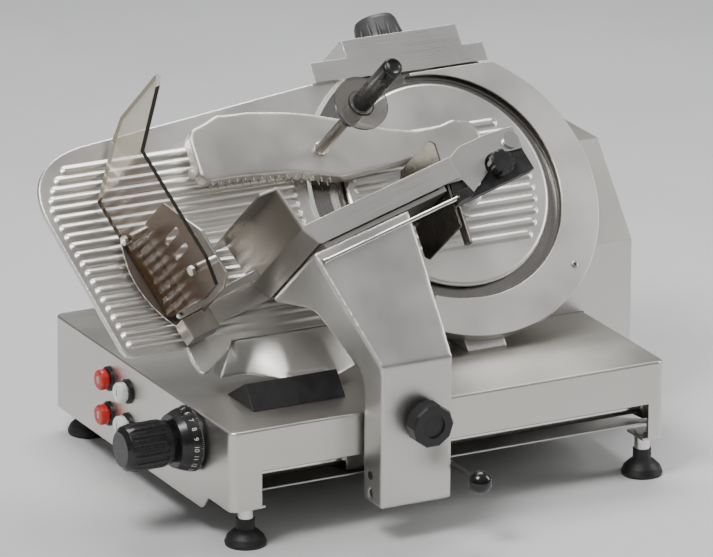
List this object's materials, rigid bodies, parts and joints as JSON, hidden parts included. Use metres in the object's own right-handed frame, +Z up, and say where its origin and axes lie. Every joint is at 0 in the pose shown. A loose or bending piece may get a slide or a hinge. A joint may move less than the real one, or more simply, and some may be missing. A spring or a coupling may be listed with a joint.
{
  "type": "gravity feed meat slicer",
  "caption": "Sloped gravity feed slicer with round knife, ribbed gauge plate, powered carriage with tilting food tray, swinging press arm, hand guard and dial.",
  "frame": {"origin": "centre of the whole machine's bounding box, at the table under its feet", "axes": "+X along the carriage's travel to the right, +Y to the back, +Z up"},
  "size_m": [0.776, 0.623, 0.5657],
  "materials": {
    "satin_steel": "satin brushed stainless sheet",
    "satin_aluminium": "fine satin anodised casting",
    "bright_steel": "polished",
    "foot_rubber": "matte",
    "black_plastic": "matte black moulding",
    "red_plastic": "gloss",
    "white_plastic": "gloss",
    "knife_steel": "ground",
    "grey_plastic": "matte",
    "grey_clear": "smoke grey clear plastic",
    "brown_clear": "smoke brown clear plastic",
    "machined_steel": "machined",
    "belt_rubber": "matte",
    "motor_metal": "painted grey",
    "stone": "ceramic bonded grit"
  },
  "bodies": {
    "base": {"base_shell": "satin_steel", "base_pan": "satin_steel", "foot_studs": "bright_steel", "rubber_feet": "foot_rubber", "panel_bezels": "black_plastic", "switch_blocks": "black_plastic", "inner_brackets": "machined_steel", "guide_rods": "bright_steel", "slot_cover": "black_plastic", "shaft_bearings": "machined_steel", "drive_belts": "belt_rubber", "knife_motor": "motor_metal", "knife_support": "satin_aluminium", "guard_ring": "satin_aluminium", "knife_cover": "satin_steel", "cover_tie_rod": "bright_steel", "motor_housing": "satin_steel", "carriage_motor": "motor_metal"},
    "stop_upper": {"stop_button_upper": "red_plastic"},
    "stop_lower": {"stop_button_lower": "red_plastic"},
    "start_upper": {"start_button_upper": "white_plastic"},
    "start_lower": {"start_button_lower": "white_plastic"},
    "dial": {"thickness_knob": "black_plastic", "thickness_skirt": "black_plastic", "thickness_shaft": "bright_steel"},
    "gauge": {"gauge_plate": "satin_aluminium", "gauge_support": "satin_aluminium", "gauge_slide_block": "machined_steel"},
    "knife_spindle": {"knife": "knife_steel", "knife_shaft": "bright_steel", "knife_pulley": "motor_metal"},
    "motor_spindle": {"motor_pulley": "motor_metal"},
    "sharpener": {"sharpener_cover": "satin_steel", "sharpener_body": "machined_steel", "sharpener_stones": "stone"},
    "sharpener_grip": {"sharpener_knob": "grey_plastic"},
    "carriage": {"carriage_block": "machined_steel"},
    "lever": {"engage_lever": "bright_steel"},
    "belt_drive": {"drive_pulley": "motor_metal"},
    "belt_idler": {"idler_pulley": "motor_metal"},
    "arm": {"arm_casting": "satin_aluminium", "arm_pivot_pin": "bright_steel", "tray_trough": "satin_steel", "tray_base": "machined_steel", "rear_rail": "satin_steel", "tray_rod": "bright_steel", "end_block": "black_plastic", "end_plate": "satin_steel", "fence_plate": "satin_steel", "press_rod": "bright_steel", "hand_guard": "brown_clear", "guard_spacers": "machined_steel", "guard_bracket": "machined_steel", "push_handle": "black_plastic"},
    "arm_clamp": {"arm_knob": "black_plastic"},
    "fence_clamp": {"tray_knob": "black_plastic"},
    "press_slider": {"press_sleeve": "bright_steel"},
    "press": {"press_arm": "satin_aluminium", "press_handle": "black_plastic", "hand_disc": "grey_clear"}
  },
  "joints": [
    {"name": "stop_upper_press", "type": "slide", "parent": "base", "child": "stop_upper", "axis": [1, 0, 0], "range_m": [0, 0.003], "stiffness_N_per_m": 350, "springref_m": -0.004},
    {"name": "stop_lower_press", "type": "slide", "parent": "base", "child": "stop_lower", "axis": [1, 0, 0], "range_m": [0, 0.003], "stiffness_N_per_m": 350, "springref_m": -0.004},
    {"name": "start_upper_press", "type": "slide", "parent": "base", "child": "start_upper", "axis": [1, 0, 0], "range_m": [0, 0.003], "stiffness_N_per_m": 350, "springref_m": -0.004},
    {"name": "start_lower_press", "type": "slide", "parent": "base", "child": "start_lower", "axis": [1, 0, 0], "range_m": [0, 0.003], "stiffness_N_per_m": 350, "springref_m": -0.004},
    {"name": "thickness_turn", "type": "hinge", "parent": "base", "child": "dial", "pos_m": [-0.28, -0.0795, 0.1173], "axis": [1, 0, 0], "range_deg": [0, 330]},
    {"name": "gauge_slide", "type": "slide", "parent": "base", "child": "gauge", "axis": [0, 0.766, -0.6428], "range_m": [0, 0.016]},
    {"name": "knife_spin", "type": "hinge", "parent": "base", "child": "knife_spindle", "pos_m": [0.155, 0.07773, 0.32927], "axis": [0, -0.766, 0.6428], "continuous": true},
    {"name": "motor_spin", "type": "hinge", "parent": "base", "child": "motor_spindle", "pos_m": [0.28, 0.05042, 0.29672], "axis": [0, -0.766, 0.6428], "continuous": true},
    {"name": "sharpener_lift", "type": "slide", "parent": "base", "child": "sharpener", "axis": [0, 0.6428, 0.766], "range_m": [0, 0.02]},
    {"name": "sharpener_turn", "type": "hinge", "parent": "sharpener", "child": "sharpener_grip", "pos_m": [0.141, 0.23731, 0.47278], "axis": [0, 0.6428, 0.766], "range_deg": [0, 90]},
    {"name": "carriage_slide", "type": "slide", "parent": "base", "child": "carriage", "axis": [1, 0, 0], "range_m": [0, 0.28]},
    {"name": "lever_pull", "type": "slide", "parent": "carriage", "child": "lever", "axis": [0, -1, 0], "range_m": [0, 0.012]},
    {"name": "belt_drive_turn", "type": "hinge", "parent": "base", "child": "belt_drive", "pos_m": [0.245, -0.1735, 0.127], "axis": [0, -1, 0], "range_deg": [0, 803]},
    {"name": "belt_idler_turn", "type": "hinge", "parent": "base", "child": "belt_idler", "pos_m": [-0.205, -0.1735, 0.127], "axis": [0, -1, 0], "range_deg": [0, 803]},
    {"name": "arm_tilt", "type": "hinge", "parent": "carriage", "child": "arm", "pos_m": [-0.057, -0.2115, 0.06], "axis": [1, 0, 0], "range_deg": [0, 25]},
    {"name": "arm_clamp_turn", "type": "hinge", "parent": "arm", "child": "arm_clamp", "pos_m": [-0.049, -0.2435, 0.155], "axis": [0, -1, 0], "range_deg": [0, 720]},
    {"name": "fence_clamp_turn", "type": "hinge", "parent": "arm", "child": "fence_clamp", "pos_m": [0.13254, -0.09072, 0.40856], "axis": [0, -0.766, 0.6428], "range_deg": [0, 360]},
    {"name": "press_slide", "type": "slide", "parent": "arm", "child": "press_slider", "axis": [0, -0.766, 0.6428], "range_m": [0, 0.12]},
    {"name": "press_swing", "type": "hinge", "parent": "press_slider", "child": "press", "pos_m": [0.159, 0.06649, 0.31587], "axis": [0, -0.766, 0.6428], "range_deg": [-95, 10]}
  ],
  "couplings": [
    {"joint": "gauge_slide", "follows": "thickness_turn", "m_per_rad": 0.0027777},
    {"joint": "motor_spin", "follows": "knife_spin", "ratio": 1.5},
    {"joint": "belt_drive_turn", "follows": "carriage_slide", "rad_per_m": 50},
    {"joint": "belt_idler_turn", "follows": "carriage_slide", "rad_per_m": 50}
  ]
}
